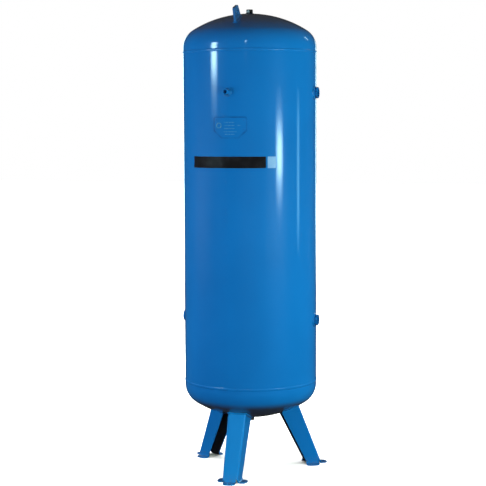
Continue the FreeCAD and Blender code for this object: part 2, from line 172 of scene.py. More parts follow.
# ---- nameplate and films ----
PLATE_CHAMFER_W = 0.036
PLATE_CHAMFER_H = 0.032
PLATE_TOP_R = 0.008
BRACKET_T = 0.003
PLATE_T = 0.001
RELIEF_H = 0.0012
DECAL_T = 0.0005
DECAL_CORNER_R = 0.002
RIVET_HEAD_R, RIVET_HEAD_H, RIVET_SHANK_R = 0.0032, 0.0014, 0.0016
RIVET_COLUMNS = 32
# blank bars on the nameplate: x, height over its middle, width, height of the bar
NAMEPLATE_BARS = [(-0.002, 0.022, 0.046, 0.0045), (-0.002, 0.009, 0.046, 0.0045),
                  (-0.002, -0.004, 0.046, 0.0045), (0.002, -0.018, 0.060, 0.0040),
                  (0.000, -0.029, 0.044, 0.0040), (0.040, 0.009, 0.018, 0.0045)]
# blank ring beside them: x, height over its middle, radius, width of the ring
NAMEPLATE_BOSS = (-0.049, 0.009, 0.0125, 0.0036)

# ---- derived ----
TOP_SEAM_Z = sum(corner.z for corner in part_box("top_seam_weld")) / 2.0
BOTTOM_SEAM_Z = sum(corner.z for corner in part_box("bottom_seam_weld")) / 2.0
TOP_TANGENT_Z = TOP_SEAM_Z + HEAD_SKIRT
BOTTOM_TANGENT_Z = BOTTOM_SEAM_Z - HEAD_SKIRT
KNUCKLE_X = TANK_R - KNUCKLE_R
HEAD_DEPTH = CROWN_R - sqrt((CROWN_R - KNUCKLE_R) ** 2 - KNUCKLE_X ** 2)
MEET_ANGLE = atan2(CROWN_R - HEAD_DEPTH, KNUCKLE_X)
MEET_R = CROWN_R * cos(MEET_ANGLE)


# ---- materials ----
class Nodes:
    """A node tree with short calls for adding and linking."""

    def __init__(self, tree):
        self.tree = tree

    def add(self, kind, **settings):
        node = self.tree.nodes.new("ShaderNode" + kind)
        for key, value in settings.items():
            setattr(node, key, value)
        return node

    def link(self, source, target):
        self.tree.links.new(source, target)

    def split(self, vector):
        node = self.add("SeparateXYZ")
        self.link(vector, node.inputs["Vector"])
        return node.outputs


class Shader(Nodes):
    """A material's node tree, with the textures and blends this scene uses."""

    def __init__(self, name):
        self.material = bpy.data.materials.new(name)
        self.material.use_nodes = True
        super().__init__(self.material.node_tree)
        self.surface = self.tree.nodes["Principled BSDF"]
        self.place = self.add("TexCoord").outputs["Object"]

    def feed(self, source, *inputs):
        for name in inputs:
            self.link(source, self.surface.inputs[name])

    def set(self, **values):
        for key, value in values.items():
            self.surface.inputs[key.replace("_", " ")].default_value = value

    def noise(self, scale, detail=3.0, roughness=0.5, stretch=(1.0, 1.0, 1.0)):
        mapping = self.add("Mapping")
        mapping.inputs["Scale"].default_value = stretch
        self.link(self.place, mapping.inputs["Vector"])
        texture = self.add("TexNoise")
        for key, value in (("Scale", scale), ("Detail", detail), ("Roughness", roughness)):
            texture.inputs[key].default_value = value
        self.link(mapping.outputs["Vector"], texture.inputs["Vector"])
        return texture.outputs["Fac"]

    def remap(self, value, low, high, to_low=0.0, to_high=1.0):
        node = self.add("MapRange", interpolation_type="SMOOTHSTEP")
        for socket, number in zip(node.inputs[1:5], (low, high, to_low, to_high)):
            socket.default_value = number
        self.link(value, node.inputs["Value"])
        return node.outputs["Result"]

    def times(self, first, second):
        node = self.add("Math", operation="MULTIPLY")
        self.link(first, node.inputs[0])
        self.link(second, node.inputs[1])
        return node.outputs["Value"]

    def mix(self, amount, first, second):
        node = self.add("Mix", data_type="RGBA")
        self.link(amount, node.inputs["Factor"])
        sockets = [s for s in node.inputs if s.type == "RGBA"]
        for socket, colour in zip(sockets, (first, second)):
            if isinstance(colour, tuple):
                socket.default_value = (*colour, 1.0)
            else:
                self.link(colour, socket)
        return [s for s in node.outputs if s.type == "RGBA"][0]

    def bumps(self, *layers):
        """Stacks height maps, each given as (height, distance in metres), into the normal."""
        normal = None
        for height, distance in layers:
            bump = self.add("Bump")
            bump.inputs["Strength"].default_value = 1.0
            bump.inputs["Distance"].default_value = distance
            self.link(height, bump.inputs["Height"])
            if normal is not None:
                self.link(normal, bump.inputs["Normal"])
            normal = bump.outputs["Normal"]
        return normal

    def height(self):
        return self.split(self.place)["Z"]

    def facing_up(self):
        return self.split(self.add("NewGeometry").outputs["Normal"])["Z"]


BLUE_DEEP = (0.0038, 0.158, 0.520)
BLUE_BRIGHT = (0.0042, 0.173, 0.560)
# paler blues: rubbed paint and a painted highlight on the nameplate's raised bars
BLUE_RUBBED_HIGHLIT = (0.008, 0.190, 0.560)
BLUE_BARED_HIGHLIT = (0.045, 0.245, 0.570)
# paler blues: worn paint and a painted highlight on the nameplate's boss
BLUE_WORN_HIGHLIT = (0.012, 0.190, 0.500)
PAINT_THIN_HIGHLIT = (0.090, 0.330, 0.500)
# darker blue: grime and a painted shadow in the gap round the nameplate
BLUE_GRIME_AND_SHADOW = (0.0030, 0.100, 0.350)
# dust and painted shade: the darker tone mixed onto up-facing surfaces and the highest parts
DUST_AND_SHADE = (0.044, 0.056, 0.084)
SCUFF = (0.10, 0.12, 0.14)
STEEL = (0.33, 0.31, 0.29)
RUST = (0.16, 0.07, 0.035)
# near-black of the dark skin below, also the painted shade mixed onto the enamel's undersides
PRIMER_AND_SHADE_BLACK = (0.036, 0.037, 0.047)
PRIMER_AND_SHADE_MIST = (0.024, 0.040, 0.070)
IRON = (0.022, 0.022, 0.025)
IRON_WORN = (0.085, 0.082, 0.085)
RUBBER = (0.012, 0.012, 0.013)
RUBBER_BLOOM = (0.035, 0.034, 0.033)
FILM_BLACK = (0.006, 0.006, 0.008)
FILM_BLACK_AGED = (0.014, 0.014, 0.018)
FILM_PALE = (0.16, 0.40, 0.74)
FILM_PALE_AGED = (0.20, 0.44, 0.76)

# What is mixed over the enamel's colour, in order: dust with painted shade on the crown and the
# top, painted shade on the undersides, scuffs on the toes. Each is (measured by, (from, to, share,
# share there), noise that breaks it up, (from, to, share, share there) of the noise, colour).
ENAMEL_LAYERS = [
    # dust and painted shade: up-facing surfaces darken
    ("facing", (0.66, 1.0, 0.0, 0.34), (55.0, 6.0, 0.7), (0.25, 0.6, 0.55, 1.0), DUST_AND_SHADE),
    # dust and painted shade: everything above 2 m darkens, the crown's top and the lug
    ("height", (2.0, 2.03, 0.0, 0.45), (40.0, 5.0, 0.6), (0.1, 0.7, 0.6, 1.0), DUST_AND_SHADE),
    # painted shade: surfaces that face down darken towards near-black
    ("facing", (-0.45, -0.85, 0.0, 0.85), None, None, PRIMER_AND_SHADE_BLACK),
    ("height", (0.05, 0.0, 0.0, 0.8), (160.0, 6.0, 0.75), (0.5, 0.62, 0.0, 1.0), SCUFF)]


def blue_enamel(name, deep, bright, cloud_scale):
    """Sprayed gloss enamel: a clear film over an uneven blue, with orange peel.

    Dust with painted shade darkens the crown and the parts on top, painted shade darkens the
    undersides towards near-black, and the toes are scuffed.
    """
    shader = Shader(name)
    shader.set(Metallic=0.0, Specular_IOR_Level=0.1, Coat_Weight=1.0, Coat_Roughness=0.045,
               Coat_IOR=1.5)
    cloud = shader.remap(shader.noise(cloud_scale, 2.0), 0.3, 0.7)
    colour = shader.mix(cloud, deep, bright)
    for measure, limits, pattern, patches, tint in ENAMEL_LAYERS:
        where = shader.height() if measure == "height" else shader.facing_up()
        amount = shader.remap(where, *limits)
        if pattern:
            amount = shader.times(amount, shader.remap(shader.noise(*pattern), *patches))
        colour = shader.mix(amount, colour, tint)
    shader.feed(colour, "Base Color")
    shader.feed(shader.remap(shader.noise(26.0, 5.0, 0.65), 0.3, 0.75, 0.30, 0.42), "Roughness")
    peel = shader.bumps((shader.noise(420.0, 1.0), 0.000012), (shader.noise(70.0, 2.0), 0.00005))
    shader.feed(peel, "Normal", "Coat Normal")
    return shader.material


def mottled(name, pattern, limits, colours, roughness, relief, **settings):
    """Skin whose colour and roughness drift together from one value to another by a noise.

    pattern is the noise and limits its used part; relief is a list of (noise, depth in metres).
    """
    shader = Shader(name)
    shader.set(**settings)
    drift = shader.remap(shader.noise(*pattern), *limits)
    shader.feed(shader.mix(drift, *colours), "Base Color")
    shader.feed(shader.remap(drift, 0.0, 1.0, *roughness), "Roughness")
    shader.feed(shader.bumps(*[(shader.noise(*grain), depth) for grain, depth in relief]), "Normal")
    return shader.material


def vinyl(name, colours):
    """Cut film laid on the paint, slightly mottled by the enamel under it."""
    return mottled(name, (34.0, 6.0, 0.65), (0.4, 0.75), colours, (0.28, 0.42),
                   [((420.0, 1.0), 0.00001), ((60.0, 2.0), 0.00004)],
                   Coat_Weight=0.25, Coat_Roughness=0.12, Specular_IOR_Level=0.4)


PAINT = blue_enamel("blue_enamel", BLUE_DEEP, BLUE_BRIGHT, 3.0)
# rubbed paint with a painted highlight, for the nameplate's bars
RUBBED_HIGHLIT_PAINT = blue_enamel("rubbed_enamel", BLUE_RUBBED_HIGHLIT, BLUE_BARED_HIGHLIT, 140.0)
# worn paint with a painted highlight, for the nameplate's boss
WORN_HIGHLIT_PAINT = blue_enamel("worn_enamel", BLUE_WORN_HIGHLIT, PAINT_THIN_HIGHLIT, 170.0)
# grime with a painted shadow, for the nameplate's backing
GRIME_AND_SHADOW_PAINT = blue_enamel("grimed_enamel", BLUE_GRIME_AND_SHADOW, BLUE_DEEP, 22.0)
# mill-finish plate inside the vessel, with a thin bloom of rust
PLATE = mottled("bare_plate", (18.0, 8.0, 0.7), (0.45, 0.7), (STEEL, RUST), (0.38, 0.85),
                [((260.0, 3.0, 0.6, (1.0, 1.0, 0.08)), 0.00005)], Metallic=0.75)
# near-black matt skin inside the legs and on the drain socket: dark primer, and painted shade where
# little light reaches
PRIMER_AND_SHADE_SKIN = mottled("black_primer", (24.0, 5.0, 0.6), (0.45, 0.8), (PRIMER_AND_SHADE_BLACK, PRIMER_AND_SHADE_MIST),
                 (0.55, 0.75), [((700.0, 2.0), 0.00003)], Specular_IOR_Level=0.3)
# malleable iron under thin black varnish
IRON_SKIN = mottled("black_malleable_iron", (190.0, 7.0, 0.7), (0.48, 0.68), (IRON, IRON_WORN),
                    (0.24, 0.42), [((900.0, 3.0), 0.00008), ((210.0, 2.0), 0.00012)],
                    Metallic=0.35, Specular_IOR_Level=0.6)
RUBBER_SKIN = mottled("moulded_rubber", (320.0, 5.0, 0.6), (0.4, 0.75), (RUBBER, RUBBER_BLOOM),
                      (0.6, 0.85), [((1500.0, 2.0), 0.00004)], Specular_IOR_Level=0.3)
BLACK_FILM = vinyl("black_film", (FILM_BLACK, FILM_BLACK_AGED))
PALE_FILM = vinyl("pale_film", (FILM_PALE, FILM_PALE_AGED))


# ---- mesh helpers ----
def polar(azimuth, radius, z):
    return Vector((radius * sin(azimuth), -radius * cos(azimuth), z))


def spread(low, high, count):
    return [low + (high - low) * i / count for i in range(count + 1)]


def add_object(name, data):
    obj = bpy.data.objects.new(name, data)
    bpy.context.scene.collection.objects.link(obj)
    return obj


def piece(name, verts, faces, stands_for, body="tank", slot="blue_paint", skins=(PAINT,),
          crease=32.0, edge=0.0, inside=()):
    """A mesh object that rides on a body and stands for the CAD nodes it is named after.

    Faces whose numbers are in inside get the second skin.
    """
    mesh = bpy.data.meshes.new(name)
    mesh.from_pydata([tuple(v) for v in verts], [], faces)
    for i in inside:
        mesh.polygons[i].material_index = 1
    work = bmesh.new()
    work.from_mesh(mesh)
    bmesh.ops.remove_doubles(work, verts=work.verts, dist=1e-7)
    bmesh.ops.dissolve_degenerate(work, dist=1e-7, edges=work.edges)
    bmesh.ops.recalc_face_normals(work, faces=work.faces)
    work.to_mesh(mesh)
    work.free()
    for skin in skins:
        mesh.materials.append(skin)
    mesh.shade_smooth()
    mesh.set_sharp_from_angle(angle=radians(crease))
    obj = add_object(name, mesh)
    if edge > 0.0:
        bevel = obj.modifiers.new("eased_edges", "BEVEL")
        bevel.width = edge
        bevel.segments = 2
        bevel.limit_method = "ANGLE"
        bevel.angle_limit = radians(50.0)
        weighted = obj.modifiers.new("even_shading", "WEIGHTED_NORMAL")
        weighted.keep_sharp = True
    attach(obj, body)
    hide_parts(*stands_for)


def around(count):
    """Angles of a full turn in equal steps."""
    return [TURN * i / count for i in range(count)]


def grid_faces(rings, width, closed=False):
    """Quads between rings of points that follow each other, each ring closed on itself."""
    faces = []
    for k in range(rings if closed else rings - 1):
        here, there = k * width, (k + 1) % rings * width
        for i in range(width):
            j = (i + 1) % width
            faces.append((here + i, here + j, there + j, there + i))
    return faces


def lathe(outline, segments, shape=None, closed=True):
    """Turns a (radius, height) outline about Z; shape may move each point of it as it turns."""
    verts = []
    for radius, height in outline:
        for angle in around(segments):
            r, h = shape(radius, height, angle) if shape else (radius, height)
            verts.append(Vector((r * cos(angle), r * sin(angle), h)))
    return verts, grid_faces(len(outline), segments, closed)


def placed(verts, matrix):
    return [matrix @ v for v in verts]


def along(axis, origin):
    """Matrix that takes +Z to an axis at an origin."""
    return Matrix.Translation(origin) @ Vector(axis).to_track_quat("Z", "Y").to_matrix().to_4x4()


def thick_sheet(front, back, faces):
    """Closes a front grid and its back copy into a solid, with a rim along every open edge."""
    count = len(front)
    open_edges = {}
    for face in faces:
        for a, b in zip(face, face[1:] + face[:1]):
            if (b, a) in open_edges:
                del open_edges[(b, a)]
            else:
                open_edges[(a, b)] = True
    solid = list(faces)
    solid += [tuple(i + count for i in reversed(face)) for face in faces]
    solid += [(b, a, a + count, b + count) for a, b in open_edges]
    return drop_loose(list(front) + list(back), solid)


def drop_loose(verts, faces):
    """Leaves out the points that no face uses."""
    used = sorted({i for face in faces for i in face})
    fresh = {old: new for new, old in enumerate(used)}
    return [verts[i] for i in used], [tuple(fresh[i] for i in face) for face in faces]


def punch(front, back, faces, centre, axis, radius, settle=None):
    """Opens a round hole through a sheet: takes faces out and rounds off the edge they leave."""
    axis = Vector(axis)

    def spoke(point):
        offset = point - centre
        return offset - axis * offset.dot(axis)

    def inside(face):
        middle = sum((front[i] for i in face), Vector()) / len(face)
        return (middle - centre).dot(axis) > -0.05 and spoke(middle).length < radius

    removed = [face for face in faces if inside(face)]
    kept = [face for face in faces if not inside(face)]
    rim = {i for face in removed for i in face} & {i for face in kept for i in face}
    for i in rim:
        for surface in (front, back):
            out = spoke(surface[i])
            moved = surface[i] + out * (radius / out.length - 1.0)
            surface[i] = settle(moved, surface[i]) if settle else moved
    return kept


def rounded(points, radius, steps=6):
    """2-D outline whose inner points are each replaced by an arc; the two ends stay."""
    made = [points[0]]
    for before, corner, after in zip(points, points[1:], points[2:]):
        before, corner, after = Vector(before), Vector(corner), Vector(after)
        back = (before - corner).normalized()
        ahead = (after - corner).normalized()
        half = back.angle(ahead) / 2.0
        centre = corner + (back + ahead).normalized() * (radius / sin(half))
        start = corner + back * (radius / tan(half)) - centre
        end = corner + ahead * (radius / tan(half)) - centre
        for i in range(steps + 1):
            made.append(tuple(centre + start.slerp(end, i / steps).normalized() * radius))
    made.append(points[-1])
    return made


# ---- tank ----
def wave(point):
    """Small unevenness of rolled and pressed plate, outwards in metres."""
    return WAVE_DEPTH * noise.noise(point / WAVE_LENGTH)


def shrink(z):
    """Pull of the ring seams on the plate beside them."""
    near = min(abs(z - TOP_SEAM_Z), abs(z - BOTTOM_SEAM_Z))
    return -SHRINK_DEPTH * exp(-(near / SHRINK_REACH) ** 2)


def crown_height(rho):
    """Height of a head's outer face above its tangent line, at a distance from the axis."""
    if rho > MEET_R:
        return sqrt(KNUCKLE_R ** 2 - (rho - KNUCKLE_X) ** 2)
    return HEAD_DEPTH - CROWN_R + sqrt(CROWN_R ** 2 - rho ** 2)


def crown_normal(x, y, side):
    """Outward normal of the top head (side 1) or the bottom head (side -1)."""
    rho = hypot(x, y)
    centre_r, centre_h = (KNUCKLE_X, 0.0) if rho > MEET_R else (0.0, HEAD_DEPTH - CROWN_R)
    out = rho - centre_r
    rise = crown_height(rho) - centre_h
    return Vector((x / rho * out, y / rho * out, side * rise)).normalized()


def head_profile(inset):
    """(radius, height above the tangent) from the seam to the hole at the apex."""
    knuckle_r = KNUCKLE_R - inset
    crown_r = CROWN_R - inset
    points = [(TANK_R - inset, h) for h in spread(-HEAD_SKIRT, 0.0, 6)[:-1]]
    for angle in spread(0.0, MEET_ANGLE, HEAD_STEPS):
        points.append((KNUCKLE_X + knuckle_r * cos(angle), knuckle_r * sin(angle)))
    last = acos(HEAD_HOLE_R / crown_r)
    for angle in spread(MEET_ANGLE, last, HEAD_STEPS)[1:]:
        height = HEAD_DEPTH - CROWN_R + crown_r * sin(angle)
        points.append((crown_r * cos(angle), height))
    return points


def head(name, node, side):
    tangent = TOP_TANGENT_Z if side > 0 else BOTTOM_TANGENT_Z
    outer = head_profile(0.0)
    inner = head_profile(WALL)

    def uneven(radius, height, angle):
        z = tangent + side * height
        point = Vector((radius * cos(angle), radius * sin(angle), z))
        push = wave(point) * min(1.0, radius / TANK_R * 2.0)
        if radius > MEET_R:
            push += shrink(z)
        return radius + push * radius / TANK_R, z + side * push * (1.0 - radius / TANK_R)

    verts, faces = lathe(outer + inner[::-1], TANK_COLUMNS, uneven)
    bare = range(len(outer) * TANK_COLUMNS, len(faces))
    piece(name, verts, faces, [node], skins=(PAINT, PLATE), inside=bare)


def port_frame(mount):
    centre = Vector(mount["pos_m"])
    return Vector((0.0, 0.0, centre.z)), Vector(mount["axis"]), centre


def shell():
    """Rolled plate, its outer and inner faces as one grid with a hole under every socket."""
    heights = set(spread(BOTTOM_SEAM_Z, TOP_SEAM_Z, SHELL_ROWS))
    for name in SIDE_HOLES:
        z = MOUNTS[name]["pos_m"][2]
        heights |= set(spread(z - PORT_REACH, z + PORT_REACH, PORT_ROWS))
    rows = [min(heights)]
    for z in sorted(heights)[1:]:
        if z - rows[-1] > LEAST_ROW_GAP:
            rows.append(z)
    rows[-1] = TOP_SEAM_Z
    front = []
    back = []
    for z in rows:
        for azimuth in around(TANK_COLUMNS):
            push = wave(polar(azimuth, TANK_R, z)) + shrink(z)
            front.append(polar(azimuth, TANK_R + push, z))
            back.append(polar(azimuth, TANK_R - WALL + push, z))
    faces = grid_faces(len(rows), TANK_COLUMNS)

    def on_wall(moved, before):
        level = hypot(before.x, before.y)
        scale = level / hypot(moved.x, moved.y)
        return Vector((moved.x * scale, moved.y * scale, moved.z))

    for name, hole in SIDE_HOLES.items():
        level, axis, _ = port_frame(MOUNTS[name])
        faces = punch(front, back, faces, level + axis * TANK_R, axis, hole, on_wall)
    verts, solid = thick_sheet(front, back, faces)
    bare = range(len(faces), 2 * len(faces))
    piece("rolled_shell", verts, solid, ["shell"], skins=(PAINT, PLATE), inside=bare)


def seam_ripple(distance, across):
    """Height of the chevron ripples of a machine weld; across runs from -1 to 1 over the cap."""
    phase = distance / SEAM_RIPPLE - SEAM_CHEVRON * across * across
    return SEAM_RIPPLE_DEPTH * (abs(sin(pi * phase)) - SEAM_RIPPLE_LEVEL) * (1.0 - across * across)


def ring_seam(name, node, z):
    half = SEAM_CAP_W / 2.0
    count = RIPPLE_SAMPLES * round(TURN * TANK_R / SEAM_RIPPLE)
    foot = TANK_R - SHRINK_DEPTH - BEAD_SINK
    outline = [(TANK_R - WALL, SEAM_ROOT / 2.0), (TANK_R - WALL, -SEAM_ROOT / 2.0), (foot, -half)]
    for across in spread(-1.0, 1.0, SEAM_CAP_STEPS):
        cap = (1.0 - across * across) * (SEAM_CAP_H + SHRINK_DEPTH)
        outline.append((TANK_R - SHRINK_DEPTH - CAP_LAP + cap, across * half))
    outline.append((foot, half))

    def rippled(radius, height, angle):
        if radius > foot + BEAD_SINK / 2.0:
            drift = SEAM_DRIFT * noise.noise(Vector((angle * 9.0, z, 0.0)))
            radius += seam_ripple(angle * TANK_R, height / half)
            return radius, z + height + drift
        return radius, z + height

    piece(name, *lathe(outline, count, rippled), [node], crease=SEAM_CREASE)


def long_seam():
    """Straight machine weld down the back of the shell."""
    half = LONG_SEAM_CAP_W / 2.0
    bottom = BOTTOM_SEAM_Z + SEAM_CAP_W / 2.0
    top = TOP_SEAM_Z - SEAM_CAP_W / 2.0
    rows = RIPPLE_SAMPLES * round((top - bottom) / SEAM_RIPPLE)
    verts = []
    for z in spread(bottom, top, rows):
        drift = SEAM_DRIFT * noise.noise(Vector((3.0, 0.0, z * 16.0)))
        section = [(-SEAM_ROOT / 2.0, TANK_R - WALL), (-half, TANK_R - BEAD_SINK)]
        for across in spread(-1.0, 1.0, LONG_CAP_STEPS):
            cap = (1.0 - across * across) * LONG_SEAM_CAP_H
            plate = sqrt(TANK_R ** 2 - (across * half) ** 2) + shrink(z)
            y = plate - CAP_LAP + cap + seam_ripple(z, across)
            section.append((across * half + drift, y))
        section += [(half, TANK_R - BEAD_SINK), (SEAM_ROOT / 2.0, TANK_R - WALL)]
        verts += [Vector((x, y, z)) for x, y in section]
    width = len(section)
    faces = [tuple(range(width)), tuple(reversed(range(rows * width, (rows + 1) * width)))]
    faces += grid_faces(rows + 1, width)
    piece("long_seam_bead", verts, faces, ["shell_seam_weld"], crease=SEAM_CREASE)


# ---- hand-laid fillets ----
def fillet(places, leg, closed, climb=None, seed=0):
    """Rippled fillet bead. Each place is (point, normal of the wall, normal of the piece)."""
    climb = leg if climb is None else climb
    verts = []
    distance = 0.0
    before = places[0][0]
    for point, wall, side in places:
        distance += (point - before).length
        before = point
        over_wall = (side - wall * side.dot(wall)).normalized()
        up_side = (wall - side * wall.dot(side)).normalized()
        lump = noise.noise(point * BEAD_LUMP_SCALE + Vector((seed, 0.0, 0.0)))
        lump = 1.0 + BEAD_LUMP * lump
        foot = point + over_wall * leg * lump
        top = point + up_side * climb * lump
        verts.append(point - (over_wall + up_side) * BEAD_SINK)
        verts.append(foot - wall * BEAD_SINK)
        out = (over_wall * climb + up_side * leg).normalized()
        for t in spread(0.0, 1.0, FILLET_STEPS):
            phase = distance / HAND_RIPPLE - HAND_CHEVRON * sin(pi * t)
            ripple = HAND_RIPPLE_DEPTH * (abs(sin(pi * phase)) - HAND_RIPPLE_LEVEL)
            swell = sin(pi * t) * (ripple + BEAD_SWELL * min(leg, climb))
            verts.append(foot.lerp(top, t) + out * swell)
        verts.append(top - side * BEAD_SINK)
    width = FILLET_STEPS + 4
    rings = len(places)
    faces = grid_faces(rings, width, closed)
    if not closed:
        faces.append(tuple(range(width)))
        faces.append(tuple(range((rings - 1) * width, rings * width)))
    return verts, faces


def samples(length):
    return max(12, RIPPLE_SAMPLES * round(length / HAND_RIPPLE))


def round_port_places(level, axis, radius):
    """Where a socket's outside meets the shell."""
    across = UP.cross(axis)
    made = []
    for angle in around(samples(TURN * radius)):
        u = radius * cos(angle)
        v = radius * sin(angle)
        wall = (axis * sqrt(TANK_R ** 2 - u * u) + across * u) / TANK_R
        point = wall * (TANK_R + wave(level + wall * TANK_R + UP * v)) + level + UP * v
        made.append((point, wall, across * cos(angle) + UP * sin(angle)))
    return made


def round_apex_places(radius, side):
    """Where a socket in the middle of a head meets it."""
    tangent = TOP_TANGENT_Z if side > 0 else BOTTOM_TANGENT_Z
    made = []
    for angle in around(samples(TURN * radius)):
        out = Vector((cos(angle), sin(angle), 0.0))
        point = out * radius + UP * (tangent + side * crown_height(radius))
        made.append((point, crown_normal(out.x * radius, out.y * radius, side), out))
    return made


# ---- sockets ----
def bore_rows(low, high, pitch, minor_r, depth):
    """Outline of a threaded bore from its upper mouth to its lower one."""
    mouth = minor_r + depth + MOUTH_CHAMFER
    count = max(8, round((high - low) / pitch * THREAD_ROWS))
    rows = [(minor_r, h) for h in spread(high - MOUTH_CHAMFER, low + MOUTH_CHAMFER, count)]
    return [(mouth, high)] + rows + [(mouth, low)]


def thread_wave(height, angle, pitch, low, high, fade):
    """Share of full thread, fading towards both ends, and a right-hand helix from 0 to 1."""
    ends = min(height - low, high - height) / (fade * pitch)
    strength = max(0.0, min(1.0, ends))
    turn = cos(TURN * (height / pitch) - angle)
    return strength, 0.5 + 0.5 * turn


def socket_mesh(od, minor_r, low, high, thread, columns):
    """Screwed socket along +Z, its thread running the whole way through."""
    pitch, depth = thread
    out = od / 2.0
    c = SOCKET_CHAMFER
    corner = [(minor_r + depth + 0.001, high), (out, high), (out, high - 0.01)]
    rim = rounded(corner, SOCKET_RIM_R)[1:-1]
    foot = [(out, low + c), (out - c, low)]
    outline = foot[::-1] + rim[::-1] + bore_rows(low, high, pitch, minor_r, depth)

    def cut(radius, height, angle):
        if abs(radius - minor_r) > 1e-9:
            return radius, height
        strength, rise = thread_wave(height, angle, pitch, low, high, 1.2)
        return minor_r + depth * (1.0 - strength + strength * rise), height

    return lathe(outline, columns, cut)


def screwed_socket(mount_name, node, thread, columns=SOCKET_COLUMNS, skin=PAINT):
    """One side or bottom socket with its weld, placed by its bore's mount."""
    mount = MOUNTS[mount_name]
    level, axis, centre = port_frame(mount)
    low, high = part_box(node)
    upright = abs(axis.z) > 0.5
    od = high.x - low.x if upright else high.z - low.z
    half = mount["dims"]["length_mm"] / 2000.0 + SOCKET_CHAMFER
    minor_r = mount["dims"]["r_mm"] / 1000.0
    verts, faces = socket_mesh(od, minor_r, -half, half, thread, columns)
    piece(node + "_screwed", placed(verts, along(axis, centre)), faces, [node], skins=(skin,))
    if upright:
        places = round_apex_places(od / 2.0, -1)
    else:
        places = round_port_places(level, axis, od / 2.0)
    piece(node + "_bead", *fillet(places, SOCKET_WELD_LEG, True, seed=len(node)),
          [node + "_weld"], skins=(skin,), crease=WELD_CREASE)


def top_socket():
    low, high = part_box("top_socket")
    od = high.x - low.x
    piece("top_socket_screwed",
          *socket_mesh(od, TOP_MINOR_R, low.z, high.z, G_3_4, SOCKET_COLUMNS), ["top_socket"])
    bead = fillet(round_apex_places(od / 2.0, 1), SOCKET_WELD_LEG, True, TOP_WELD_H, seed=5)
    piece("top_socket_bead", *bead, ["top_socket_weld"], crease=WELD_CREASE)


def hexagon(angle, flats):
    """Radius of a hexagon with slightly rounded corners."""
    flat = radians(PLUG_CORNER_AZ - 60.0)
    faces = [abs(cos(angle - flat - pi / 3.0 * i)) for i in range(3)]
    total = sum(face ** HEXAGON_SHARPNESS for face in faces)
    return flats / 2.0 * total ** (-1.0 / HEXAGON_SHARPNESS)


def top_plug():
    """Hexagon plug: bevelled head, undercut for the washer, right-hand thread."""
    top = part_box("top_plug")[1].z
    head_z = top - PLUG_HEAD_H
    pitch, depth = G_3_4
    tip = head_z - PLUG_SHANK_LEN
    thread_top = head_z - WASHER_T - 0.0005
    rows = round((thread_top - tip) / pitch * THREAD_ROWS)
    outline = [(r, top - drop) for r, drop in PLUG_CROWN]
    outline += [(PLUG_BLANK_R, z) for z in spread(top - PLUG_FLATS_START, head_z + 0.0008, 8)]
    outline += [(r, head_z + rise) for r, rise in PLUG_HEAD_FOOT]
    outline += [(PLUG_ROOT_R, z) for z in spread(thread_top, tip + 0.0008, rows)]
    outline += [(PLUG_ROOT_R - 0.0012, tip), (0.0, tip)]

    def shaped(radius, height, angle):
        if height >= head_z - 1e-6:
            return min(radius, hexagon(angle, PLUG_FLATS)), height
        if abs(radius - PLUG_ROOT_R) < 1e-9 and height <= thread_top + 1e-9:
            strength, rise = thread_wave(height, angle, pitch, tip, thread_top, 1.0)
            return radius + depth * strength * rise, height
        return radius, height

    piece("top_plug_hexagon", *lathe(outline, PLUG_COLUMNS, shaped, closed=False),
          ["top_plug"], "plug", "black_iron", (IRON_SKIN,), crease=PLUG_CREASE)


def top_washer():
    low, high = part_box("top_plug_washer")
    out = (high.x - low.x) / 2.0
    hole = PLUG_ROOT_R + 0.0004
    corners = [(hole, (low.z + high.z) / 2.0), (hole, high.z), (out, high.z), (out, low.z),
               (hole, low.z), (hole, (low.z + high.z) / 2.0)]
    ring = lathe(rounded(corners, WASHER_EDGE_R, 4)[:-1], WASHER_COLUMNS)
    piece("top_plug_sealing_ring", *ring, ["top_plug_washer"], "plug_washer", "sealing_rubber",
          (RUBBER_SKIN,))


# ---- legs ----
def web_rho(z):
    return LEG_FOOT_R - tan(LEG_SPLAY) * z


def half_web(z):
    return (LEG_WEB_FLOOR + LEG_WEB_WIDENING * z) / 2.0


def flange_depth(z):
    return LEG_FLANGE_FLOOR + LEG_FLANGE_WIDENING * z


def edge_spread(low, high, corner, fine, coarse):
    """Positions between two edges, close together where the corners are rounded."""
    curve = [corner * (1.0 - cos(pi / 2.0 * i / fine)) for i in range(fine + 1)]
    middle = spread(low + corner, high - corner, coarse)[1:-1]
    return [low + c for c in curve] + middle + [high - c for c in reversed(curve)]


def arc(corner, gap):
    """Height of a rounded corner's edge, gap short of where its curve begins."""
    return sqrt(max(0.0, corner ** 2 - max(0.0, gap) ** 2))


def leg_columns():
    """Columns of the front leg's sheet, from one free edge round to the other.

    Each is (toe group, share along its flat or None, normal angle); the toe group is None
    in the folds, which end above the floor.
    """
    z = TOE_START_Z
    flange = flange_depth(z) - LEG_FOLD_R
    web = 2.0 * (half_web(z) - LEG_FOLD_R)
    flange_at = [v / flange for v in edge_spread(0.0, flange, TOE_CORNER_R, 8, 8)]
    web_at = [v / web for v in edge_spread(0.0, web, TOE_CORNER_R, 9, 12)]
    fold = [radians(a) for a in spread(180.0, 270.0, 10)[1:-1]]
    columns = [("left", t, pi) for t in flange_at]
    columns += [(None, None, a) for a in fold]
    columns += [("web", t, 1.5 * pi) for t in web_at]
    columns += [(None, None, 3.0 * pi - a) for a in reversed(fold)]
    columns += [("right", 1.0 - t, TURN) for t in reversed(flange_at)]
    return columns


